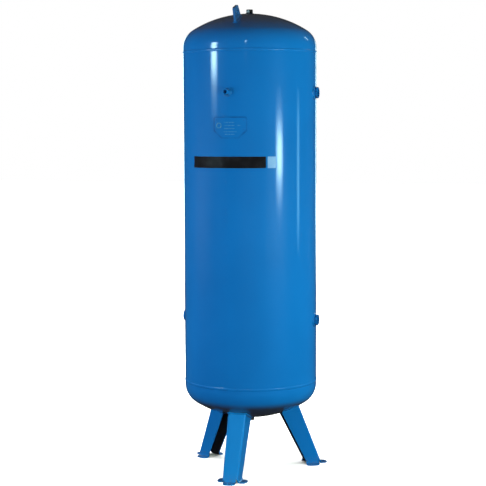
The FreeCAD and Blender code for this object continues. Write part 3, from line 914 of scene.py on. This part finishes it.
def leg_point(column, z):
    """Outside face of the front leg at a height."""
    group, share, angle = column
    side = half_web(z)
    outer = -web_rho(z)
    free = outer + flange_depth(z)
    fold_y = outer + LEG_FOLD_R
    if group == "left":
        return Vector((-side, free + (fold_y - free) * share, z))
    if group == "right":
        return Vector((side, fold_y + (free - fold_y) * share, z))
    if group == "web":
        reach = side - LEG_FOLD_R
        return Vector((-reach + 2.0 * reach * share, outer, z))
    centre_x = copysign(side - LEG_FOLD_R, cos(angle))
    x = centre_x + LEG_FOLD_R * cos(angle)
    return Vector((x, fold_y + LEG_FOLD_R * sin(angle), z))


def leg_normal(column):
    """Level direction out of the sheet."""
    return Vector((cos(column[2]), sin(column[2]), 0.0))


def leg_inside(column, z):
    """Inside face of the front leg at a height."""
    normal = leg_normal(column)
    slant = 1.0 + (1.0 / cos(LEG_SPLAY) - 1.0) * abs(normal.y)
    return leg_point(column, z) - normal * (LEG_T * slant)


def contact_height(place, column):
    """Height at which a column of the leg meets the bottom head."""
    z = BOTTOM_TANGENT_Z - HEAD_DEPTH / 2.0
    for _ in range(40):
        point = place(column, z)
        z = BOTTOM_TANGENT_Z - crown_height(hypot(point.x, point.y))
    return z


def toe_rows(column, inset):
    """Front and back points of one column from its flat round to the toe's tip.

    The tip's corners are round: inset is the column's distance from its edge, up to a corner.
    """
    group = column[0]
    start = leg_point(column, TOE_START_Z)
    out = leg_normal(column)
    if group == "web":
        corner = Vector((start.x, -web_rho(LEG_T), LEG_T))
        tip = LEG_FOOT_R + TOE_LEN - web_rho(LEG_T)
    else:
        corner = Vector((copysign(half_web(0.0), start.x), start.y, LEG_T))
        tip = TOE_LEN
    down = (corner - start).normalized()
    half = (-down).angle(out) / 2.0
    reach = TOE_BEND_R / tan(half)
    centre = corner + (out - down).normalized() * (TOE_BEND_R / sin(half))
    first = corner - down * reach - centre
    last = corner + out * reach - centre
    front = []
    back = []
    for t in spread(0.0, 1.0, TOE_BEND_STEPS):
        inward = first.slerp(last, t).normalized()
        front.append(centre + inward * TOE_BEND_R)
        back.append(centre + inward * (TOE_BEND_R + LEG_T))
    short = TOE_CORNER_R - arc(TOE_CORNER_R, TOE_CORNER_R - inset)
    length = tip - reach - short
    for t in spread(0.0, 1.0, TOE_FLAT_STEPS)[1:]:
        point = corner + out * (reach + length * t)
        front.append(point)
        back.append(point - UP * LEG_T)
    return front, back


def leg_sheet():
    """Front leg as front points, back points and faces."""
    columns = leg_columns()
    front, back, index = [], [], []
    for column in columns:
        top = contact_height(leg_point, column) + BEAD_SINK
        inner_top = contact_height(leg_inside, column) + BEAD_SINK
        ahead = [leg_point(column, z) for z in spread(top, TOE_START_Z, LEG_ROWS)]
        behind = [leg_inside(column, z) for z in spread(inner_top, TOE_START_Z, LEG_ROWS)]
        if column[0]:
            flat = flange_depth(TOE_START_Z) - LEG_FOLD_R
            if column[0] == "web":
                flat = 2.0 * (half_web(TOE_START_Z) - LEG_FOLD_R)
            edge = min(column[1], 1.0 - column[1]) * flat
            toe_front, toe_back = toe_rows(column, min(edge, TOE_CORNER_R))
            ahead += toe_front
            behind += toe_back
        index.append(range(len(front), len(front) + len(ahead)))
        front += ahead
        back += behind
    faces = []
    for i in range(len(columns) - 1):
        same_toe = columns[i][0] is not None and columns[i][0] == columns[i + 1][0]
        rows = len(index[i]) if same_toe else LEG_ROWS + 1
        for k in range(rows - 1):
            faces.append((index[i][k], index[i + 1][k], index[i + 1][k + 1], index[i][k + 1]))
    return columns, front, back, faces


def leg_weld_places(columns):
    """Line where the leg's outside meets the bottom head, resampled evenly."""
    corners = []
    for column in columns:
        point = leg_point(column, contact_height(leg_point, column))
        slope = (leg_point(column, 0.1) - leg_point(column, 0.2)).normalized()
        level = leg_normal(column)
        side = (level - slope * level.dot(slope)).normalized()
        corners.append((point, crown_normal(point.x, point.y, -1), side))
    made = []
    for (p, wall, side), (q, next_wall, next_side) in zip(corners, corners[1:]):
        count = max(1, round((q - p).length / HAND_RIPPLE * RIPPLE_SAMPLES))
        for i in range(count):
            t = i / count
            made.append((p.lerp(q, t), wall.lerp(next_wall, t).normalized(),
                         side.lerp(next_side, t).normalized()))
    made.append(corners[-1])
    return made


def legs():
    columns, front, back, faces = leg_sheet()
    hole_r = MOUNTS["anchor_holes"]["dims"]["hole_r_mm"] / 1000.0
    hole_at = Vector((0.0, -MOUNTS["anchor_holes"]["dims"]["pcd_mm"] / 2000.0, 0.0))
    near_floor = [f for f in faces if all(front[i].z < LEG_T + 0.001 for i in f)]
    other = [f for f in faces if f not in set(near_floor)]
    near_floor = punch(front, back, near_floor, hole_at, UP, hole_r)
    sheet = other + near_floor
    verts, solid = thick_sheet(front, back, sheet)
    inner_side = range(len(sheet), 2 * len(sheet))
    for name, azimuth in LEG_AZIMUTHS.items():
        turned = Matrix.Rotation(radians(azimuth), 4, "Z")
        # the inside faces get the near-black skin: painted shade inside the channel
        piece(name + "_leg_pressing", placed(verts, turned), solid, [name + "_leg"],
              skins=(PAINT, PRIMER_AND_SHADE_SKIN), edge=SHEET_EDGE, inside=inner_side)
        bead, bead_faces = fillet(leg_weld_places(columns), LEG_WELD_LEG, False, seed=len(name))
        piece(name + "_leg_bead", placed(bead, turned), bead_faces, [name + "_leg_weld"],
              crease=WELD_CREASE)


# ---- lifting lug ----
def lug_outline():
    """Closed (distance, height) outline of the plate, its base following the head."""
    top = rounded([LUG_FRONT] + LUG_CORNERS + [LUG_REAR], LUG_CORNER_R, 8)
    base = []
    for rho in spread(LUG_FOOT_REAR, LUG_FOOT_FRONT, 14):
        base.append((rho, TOP_TANGENT_Z + crown_height(rho) - BEAD_SINK))
    return top + base


def from_lowest(face):
    """The same face, listed from its lowest point number on."""
    start = face.index(min(face))
    return face[start:] + face[:start]


def lug_plate():
    """Plate with an eye: outline and eye walls joined by a filled face on each side."""
    eye = MOUNTS["lifting_eye"]
    eye_rho, eye_z = -eye["pos_m"][1], eye["pos_m"][2]
    eye_r = eye["dims"]["r_mm"] / 1000.0
    ring = [(eye_rho + eye_r * cos(angle), eye_z + eye_r * sin(angle))
            for angle in around(EYE_COLUMNS)]
    mesh = bpy.data.meshes.new("lug_draft")
    work = bmesh.new()
    edges = []
    for loop in (lug_outline(), ring):
        points = [work.verts.new((-LUG_T / 2.0, -rho, z)) for rho, z in loop]
        edges += [work.edges.new((a, b)) for a, b in zip(points, points[1:] + points[:1])]
    bmesh.ops.triangle_fill(work, use_beauty=True, edges=edges)
    made = bmesh.ops.extrude_face_region(work, geom=work.faces[:])
    moved = [item for item in made["geom"] if isinstance(item, bmesh.types.BMVert)]
    bmesh.ops.translate(work, verts=moved, vec=(LUG_T, 0.0, 0.0))
    work.to_mesh(mesh)
    work.free()
    verts = [v.co.copy() for v in mesh.vertices]
    # the fill lists its faces in another order each run, so they are put in a fixed one
    faces = sorted(from_lowest(tuple(p.vertices)) for p in mesh.polygons)
    piece("lifting_lug_plate", verts, faces, ["lifting_lug"], edge=LUG_EDGE)


def lug_weld_places():
    """Once round the foot of the plate, turning on the spot at its four corners."""
    half = LUG_T / 2.0
    corners = [(half, LUG_FOOT_REAR), (half, LUG_FOOT_FRONT), (-half, LUG_FOOT_FRONT),
               (-half, LUG_FOOT_REAR)]
    normals = [Vector((1, 0, 0)), Vector((0, -1, 0)), Vector((-1, 0, 0)), Vector((0, 1, 0))]
    made = []

    def add(x, rho, side):
        point = Vector((x, -rho, TOP_TANGENT_Z + crown_height(hypot(x, rho))))
        made.append((point, crown_normal(x, -rho, 1), side.normalized()))

    for i in range(4):
        (x0, r0), (x1, r1) = corners[i], corners[(i + 1) % 4]
        count = samples(hypot(x1 - x0, r1 - r0))
        for t in spread(0.0, 1.0, count)[:-1]:
            add(x0 + (x1 - x0) * t, r0 + (r1 - r0) * t, normals[i])
        for t in spread(0.0, 1.0, 8)[:-1]:
            add(x1, r1, normals[i].lerp(normals[(i + 1) % 4], t))
    return made


def lifting_lug():
    lug_plate()
    piece("lifting_lug_bead", *fillet(lug_weld_places(), LUG_WELD_LEG, True, seed=11),
          ["lifting_lug_weld"], crease=WELD_CREASE)


# ---- nameplate and films ----
def curved_panel(columns, low, high, rows, inner_r, outer_r):
    """Sheet on the shell: columns are azimuths, low and high give its ends at each."""
    front = []
    back = []
    for azimuth in columns:
        for z in spread(low(azimuth), high(azimuth), rows):
            front.append(polar(azimuth, outer_r, z))
            back.append(polar(azimuth, inner_r, z))
    width = rows + 1
    faces = []
    for i in range(len(columns) - 1):
        for k in range(rows):
            a = i * width + k
            faces.append((a, a + width, a + width + 1, a + 1))
    return thick_sheet(front, back, faces)


def plate_panel(node, inner_r, outer_r):
    """The nameplate's outline: round upper corners, lower corners cut off."""
    low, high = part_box(node)
    half = high.x
    corner = PLATE_TOP_R
    chamfer = PLATE_CHAMFER_H / PLATE_CHAMFER_W

    def top(azimuth):
        gap = corner - (half - abs(TANK_R * sin(azimuth)))
        if gap <= 0.0:
            return high.z
        return high.z - corner + arc(corner, gap)

    def bottom(azimuth):
        past = abs(TANK_R * sin(azimuth)) - (half - PLATE_CHAMFER_W)
        return low.z + max(0.0, past) * chamfer

    places = edge_spread(-half, half, corner, 7, 40)
    places += [half - PLATE_CHAMFER_W, PLATE_CHAMFER_W - half]
    columns = [asin(x / TANK_R) for x in sorted(set(places))]
    return curved_panel(columns, bottom, top, 10, inner_r, outer_r)


def raised_bar(centre_x, centre_z, width, height, base_r):
    """Low raised bar with round ends, standing on the nameplate."""
    corner = height / 2.0

    def end(azimuth):
        gap = corner - (width / 2.0 - abs(TANK_R * sin(azimuth) - centre_x))
        return arc(corner, gap)

    places = edge_spread(centre_x - width / 2.0, centre_x + width / 2.0, corner, 5, 8)
    columns = [asin(x / TANK_R) for x in places]
    return curved_panel(columns, lambda a: centre_z - end(a), lambda a: centre_z + end(a), 2,
                        base_r - RELIEF_H / 2.0, base_r + RELIEF_H)


def raised_ring(centre_x, centre_z, radius, width, base_r):
    """Plain round boss in place of a stamp."""
    outline = rounded([(radius - width, 0.0), (radius - width, RELIEF_H), (radius, RELIEF_H),
                       (radius, 0.0)], RELIEF_H * 0.4, 3)
    outline += [(radius, -RELIEF_H), (radius - width, -RELIEF_H)]
    verts, faces = lathe(outline, 48)
    azimuth = asin(centre_x / TANK_R)
    axis = polar(azimuth, 1.0, 0.0)
    return placed(verts, along(axis, polar(azimuth, base_r, centre_z))), faces


def joined(parts):
    verts = []
    faces = []
    for part_verts, part_faces in parts:
        base = len(verts)
        verts += part_verts
        faces += [tuple(i + base for i in face) for face in part_faces]
    return verts, faces


def rivets():
    """Four low-headed rivets, at the places their node holds."""
    low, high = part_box("nameplate_rivets")
    seat = TANK_R + BRACKET_T + PLATE_T
    outline = [(0.0, -BRACKET_T), (RIVET_SHANK_R, -BRACKET_T), (RIVET_SHANK_R, 0.0)]
    outline += [(RIVET_HEAD_R * cos(a), RIVET_HEAD_H * sin(a))
                for a in spread(0.0, pi / 2.0, 8)]
    verts, faces = lathe(outline, RIVET_COLUMNS, closed=False)
    parts = []
    for x in (low.x + RIVET_HEAD_R, high.x - RIVET_HEAD_R):
        for z in (low.z + RIVET_HEAD_R, high.z - RIVET_HEAD_R):
            azimuth = asin(x / seat)
            place = along(polar(azimuth, 1.0, 0.0), polar(azimuth, seat, z))
            parts.append((placed(verts, place), faces))
    piece("nameplate_rivet_heads", *joined(parts), ["nameplate_rivets"])


def nameplate():
    """Painted-over plate on its bracket. Its lettering is left out: plain bars and a blank boss."""
    face = TANK_R + BRACKET_T
    # the backing is darker: grime and a painted shadow round the plate's edge
    piece("nameplate_backing", *plate_panel("nameplate_bracket", TANK_R - 0.0003, face),
          ["nameplate_bracket"], skins=(GRIME_AND_SHADOW_PAINT,), edge=0.0013)
    piece("nameplate_sheet", *plate_panel("nameplate", face - 0.0002, face + PLATE_T),
          ["nameplate"], edge=0.0005)
    low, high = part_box("nameplate")
    middle_z = (low.z + high.z) / 2.0
    surface = face + PLATE_T
    parts = [raised_bar(x, middle_z + z, w, h, surface) for x, z, w, h in NAMEPLATE_BARS]
    # the bars are paler: rubbed paint and a painted highlight on their raised faces
    piece("nameplate_bars", *joined(parts), [], skins=(RUBBED_HIGHLIT_PAINT,), edge=0.0003)
    x, z, radius, width = NAMEPLATE_BOSS
    # the boss is paler: worn paint and a painted highlight on the ring
    piece("nameplate_boss", *raised_ring(x, middle_z + z, radius, width, surface), [],
          skins=(WORN_HIGHLIT_PAINT,))


def film(name, node, slot, skin):
    """Flat cut film with rounded corners on the shell."""
    low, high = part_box(node)
    azimuths = [atan2(v.co.x, -v.co.y) for v in frame["nodes"][node].data.vertices]
    start, end = min(azimuths), max(azimuths)
    corner = DECAL_CORNER_R / TANK_R

    def trim(azimuth):
        gap = corner - min(azimuth - start, end - azimuth)
        return DECAL_CORNER_R - arc(corner, gap) * TANK_R

    count = max(6, round((end - start) / radians(1.2)))
    columns = edge_spread(start, end, corner, 4, count)
    mesh = curved_panel(columns, lambda a: low.z + trim(a), lambda a: high.z - trim(a), 6,
                        TANK_R - 0.0004, TANK_R + DECAL_T)
    piece(name, *mesh, [node], slot=slot, skins=(skin,), edge=0.00015)


# ---- the vessel ----
def build_vessel():
    shell()
    head("top_dished_head", "top_head", 1)
    head("bottom_dished_head", "bottom_head", -1)
    ring_seam("top_ring_seam", "top_seam_weld", TOP_SEAM_Z)
    ring_seam("bottom_ring_seam", "bottom_seam_weld", BOTTOM_SEAM_Z)
    long_seam()
    screwed_socket("right_upper_port", "right_upper_socket", G_1_1_4)
    screwed_socket("right_lower_port", "right_lower_socket", G_1_1_4)
    screwed_socket("left_port", "left_socket", G_1_1_4)
    screwed_socket("gauge_port", "gauge_socket", G_3_8, GAUGE_COLUMNS)
    # the drain socket gets the near-black skin: painted shade under the vessel
    screwed_socket("drain_port", "drain_socket", G_3_4, skin=PRIMER_AND_SHADE_SKIN)
    top_socket()
    top_plug()
    top_washer()
    legs()
    lifting_lug()
    nameplate()
    rivets()
    film("decal_stripe_film", "decal_stripe", "black_vinyl", BLACK_FILM)
    film("decal_square_film", "decal_square", "pale_vinyl", PALE_FILM)
    for node in ("top_backing_ring", "bottom_backing_ring"):
        ring = frame["nodes"][node]
        ring.data.materials.clear()
        ring.data.materials.append(PLATE)


# ---- studio ----
CAMERA_AZIMUTH = radians(16.75)
CAMERA_DISTANCE = 6.1705
CAMERA_HEIGHT = 1.5612
CAMERA_PITCH = radians(4.89)
CAMERA_YAW = radians(0.31)
CAMERA_ROLL = -0.0039
CAMERA_LENS = 100.8
CAMERA_SENSOR = 36.0
FLOOR_HALF = 30.0
FLOOR_TONE = (0.86, 0.86, 0.86)
FLOOR_TONE_PALE = (0.88, 0.88, 0.88)


def camera():
    data = bpy.data.cameras.new("camera")
    data.lens = CAMERA_LENS
    data.sensor_width = CAMERA_SENSOR
    data.clip_end = 200.0
    obj = add_object("camera", data)
    turn = Matrix.Rotation(CAMERA_AZIMUTH + CAMERA_YAW, 4, "Z")
    tilt = Matrix.Rotation(pi / 2.0 - CAMERA_PITCH, 4, "X")
    roll = Matrix.Rotation(CAMERA_ROLL, 4, "Z")
    place = polar(CAMERA_AZIMUTH, CAMERA_DISTANCE, CAMERA_HEIGHT)
    obj.matrix_world = Matrix.Translation(place) @ turn @ tilt @ roll
    bpy.context.scene.camera = obj


def floor():
    mesh = bpy.data.meshes.new("floor")
    corners = [(-1, -1), (1, -1), (1, 1), (-1, 1)]
    verts = [(x * FLOOR_HALF, y * FLOOR_HALF, 0.0) for x, y in corners]
    mesh.from_pydata(verts, [], [(0, 1, 2, 3)])
    shader = Shader("pale_floor")
    tone = shader.noise(1.5, 3.0)
    shader.feed(shader.mix(tone, FLOOR_TONE, FLOOR_TONE_PALE), "Base Color")
    shader.set(Roughness=0.9, Specular_IOR_Level=0.0)
    mesh.materials.append(shader.material)
    obj = add_object("floor", mesh)
    obj.visible_glossy = False
    obj.visible_diffuse = False
    return obj


def panel(name, azimuth, distance, low, high, width, radiance, colour=(1.0, 1.0, 1.0)):
    """Upright rectangular light that faces the tank's axis."""
    height = high - low
    data = bpy.data.lights.new(name, "AREA")
    data.shape = "RECTANGLE"
    data.size = width
    data.size_y = height
    data.energy = radiance * pi * width * height
    data.color = colour
    obj = add_object(name, data)
    place = polar(radians(azimuth), distance, (low + high) / 2.0)
    facing = Vector((-place.x, -place.y, 0.0)).to_track_quat("-Z", "Y")
    obj.matrix_world = Matrix.Translation(place) @ facing.to_matrix().to_4x4()
    obj.visible_camera = False
    return obj


def tone_ramp(nodes, source, stops):
    ramp = nodes.add("ValToRGB")
    ramp.color_ramp.interpolation = "B_SPLINE"
    elements = ramp.color_ramp.elements
    while len(elements) < len(stops):
        elements.new(0.5)
    for element, (position, tone) in zip(elements, stops):
        element.position = position
        element.color = (tone, tone, tone, 1.0)
    nodes.link(source, ramp.inputs["Fac"])
    return ramp.outputs["Color"]


def mirrored(light, rise):
    """Makes a panel one that the gloss mirrors, soft at its sides and shaded along its height."""
    light.visible_diffuse = False
    light.data.use_nodes = True
    nodes = Nodes(light.data.node_tree)
    across = nodes.split(nodes.add("TexCoord").outputs["UV"])
    blend = nodes.add("Math", operation="MULTIPLY")
    nodes.link(tone_ramp(nodes, across["X"], SOFT_SIDES), blend.inputs[0])
    nodes.link(tone_ramp(nodes, across["Y"], rise), blend.inputs[1])
    nodes.link(blend.outputs["Value"], nodes.tree.nodes["Emission"].inputs["Strength"])


def shine_only_on(light, objects):
    receivers = bpy.data.collections.new(light.name + "_receivers")
    for obj in objects:
        receivers.objects.link(obj)
    light.light_linking.receiver_collection = receivers


def leg_light():
    """Low frontal light that reaches the front leg alone."""
    light = panel("leg_light", *LEG_LAMP)
    light.visible_glossy = False
    leg = ("front_leg_pressing", "front_leg_bead")
    shine_only_on(light, [bpy.data.objects[name] for name in leg])


def floor_light(floor_obj):
    """Broad light from above that reaches the floor only, and so shows the tank's soft shadow."""
    data = bpy.data.lights.new("floor_light", "SUN")
    data.angle = FLOOR_LIGHT_SPREAD
    data.energy = FLOOR_LIGHT
    obj = add_object("floor_light", data)
    shine_only_on(obj, [floor_obj])


def backdrop(nodes, tone):
    node = nodes.add("Background")
    node.inputs["Color"].default_value = (tone, tone, tone, 1.0)
    return node


def surroundings():
    """White to the eye, a dim graded room to the gloss, an even dim grey to matt shading."""
    world = bpy.data.worlds.new("studio")
    bpy.context.scene.world = world
    world.use_nodes = True
    world.node_tree.nodes.clear()
    nodes = Nodes(world.node_tree)
    lift = nodes.add("MapRange")
    lift.inputs["From Min"].default_value = -1.0
    direction = nodes.split(nodes.add("TexCoord").outputs["Generated"])
    nodes.link(direction["Z"], lift.inputs["Value"])
    stops = [(0.5 + 0.5 * sin(radians(e)), tone) for e, tone in ROOM_TONES]
    room = nodes.add("Background")
    nodes.link(tone_ramp(nodes, lift.outputs["Result"], stops), room.inputs["Color"])
    path = nodes.add("LightPath")
    shown = room.outputs["Background"]
    for ray, tone in (("Is Diffuse Ray", AMBIENT), ("Is Camera Ray", 1.0)):
        choice = nodes.add("MixShader")
        nodes.link(path.outputs[ray], choice.inputs["Fac"])
        nodes.link(shown, choice.inputs[1])
        nodes.link(backdrop(nodes, tone).outputs["Background"], choice.inputs[2])
        shown = choice.outputs["Shader"]
    nodes.link(shown, nodes.add("OutputWorld").inputs["Surface"])


# (degrees above the horizon, tone) of the room that the gloss mirrors
ROOM_TONES = [(-90, 0.02), (-30, 0.03), (-10, 0.03), (8, 0.026), (28, 0.06), (60, 0.12), (90, 0.1)]
AMBIENT = 0.06
FLOOR_LIGHT = 8.0
FLOOR_LIGHT_SPREAD = radians(100.0)
# (radiance, green) of the boxes round the tank, from the camera's azimuth on in equal steps
SOFTBOXES = [(1.8, 0.85), (14.2, 1.18), (10.2, 1.14), (3.0, 1.0), (6.0, 1.0), (14.5, 1.15),
             (8.6, 1.02), (0.2, 1.0)]
# lights as panel() takes them: azimuth, distance, lower edge, upper edge, width
SOFTBOX_PLACE = (3.7, 0.60, 1.40, 2.4)
LEFT_KEY = (-25.0, 3.4, 0.4, 2.3, 0.14, 56.0, (1.0, 0.93, 0.93))
LEG_LAMP = (12.0, 3.0, 0.1, 0.9, 1.0, 13.5, (1.0, 1.0, 0.55))
LAMP_TINT = (0.60, 0.92, 1.0)
WINDOW_TINT = (0.3, 0.8, 1.0)
# (share of the way over a lamp, brightness): from side to side, then from its foot up
SOFT_SIDES = [(0.0, 0.0), (0.2, 0.5), (0.5, 1.0), (0.8, 0.5), (1.0, 0.0)]
EVEN = [(0.0, 0.0), (0.25, 1.0), (0.75, 1.0), (1.0, 0.0)]
HIGH_RISE = [(0.0, 0.0), (0.15, 0.05), (0.55, 0.08), (0.75, 0.7), (0.85, 1.0), (1.0, 0.0)]
LEFT_RISE = [(0.0, 0.02), (0.12, 0.06), (0.2, 0.19), (0.25, 0.4), (0.30, 0.85), (0.36, 1.0),
             (0.9, 1.0), (1.0, 0.0)]
RIGHT_RISE = [(0.0, 0.0), (0.13, 0.03), (0.22, 0.15), (0.34, 0.35), (0.42, 0.85), (0.5, 1.0),
              (0.62, 1.0), (0.72, 0.45), (0.85, 0.08), (1.0, 0.01)]
# lamps that only the gloss shows: panel()'s numbers and radiance, then tint and rise
MIRRORED_LAMPS = {
    "left_lamp": (-43.4, 3.0, 1.60, 2.70, 0.75, 30.0, LAMP_TINT, LEFT_RISE),
    "right_lamp": (65.6, 3.0, 0.90, 1.80, 0.75, 30.0, LAMP_TINT, RIGHT_RISE),
    "right_window": (103.7, 3.0, 0.75, 1.80, 0.40, 6.0, WINDOW_TINT, EVEN),
    "high_lamp": (10.2, 6.0, 2.1, 4.5, 0.50, 26.0, LAMP_TINT, HIGH_RISE),
    "right_high_lamp": (138.0, 3.0, 2.80, 3.50, 0.30, 7.0, LAMP_TINT, EVEN),
    "rear_left_lamp": (-150.0, 4.0, 0.4, 2.6, 0.6, 12.0, LAMP_TINT, EVEN),
    "rear_right_lamp": (175.0, 4.0, 0.4, 2.6, 0.4, 8.0, LAMP_TINT, EVEN)}


def lights():
    """Soft boxes all round, which the enamel doesn't mirror, and the narrow lights that it does."""
    for i, (radiance, green) in enumerate(SOFTBOXES):
        azimuth = degrees(CAMERA_AZIMUTH) + 360.0 * i / len(SOFTBOXES)
        box = panel(f"softbox_{i}", azimuth, *SOFTBOX_PLACE, radiance, (1.0, green, 1.0))
        box.visible_glossy = False
    panel("left_key", *LEFT_KEY).visible_glossy = False
    for name, (*place, tint, rise) in MIRRORED_LAMPS.items():
        mirrored(panel(name, *place, tint), rise)


camera()
build_vessel()
floor_light(floor())
lights()
leg_light()
surroundings()
bpy.context.scene.view_settings.view_transform = "Standard"
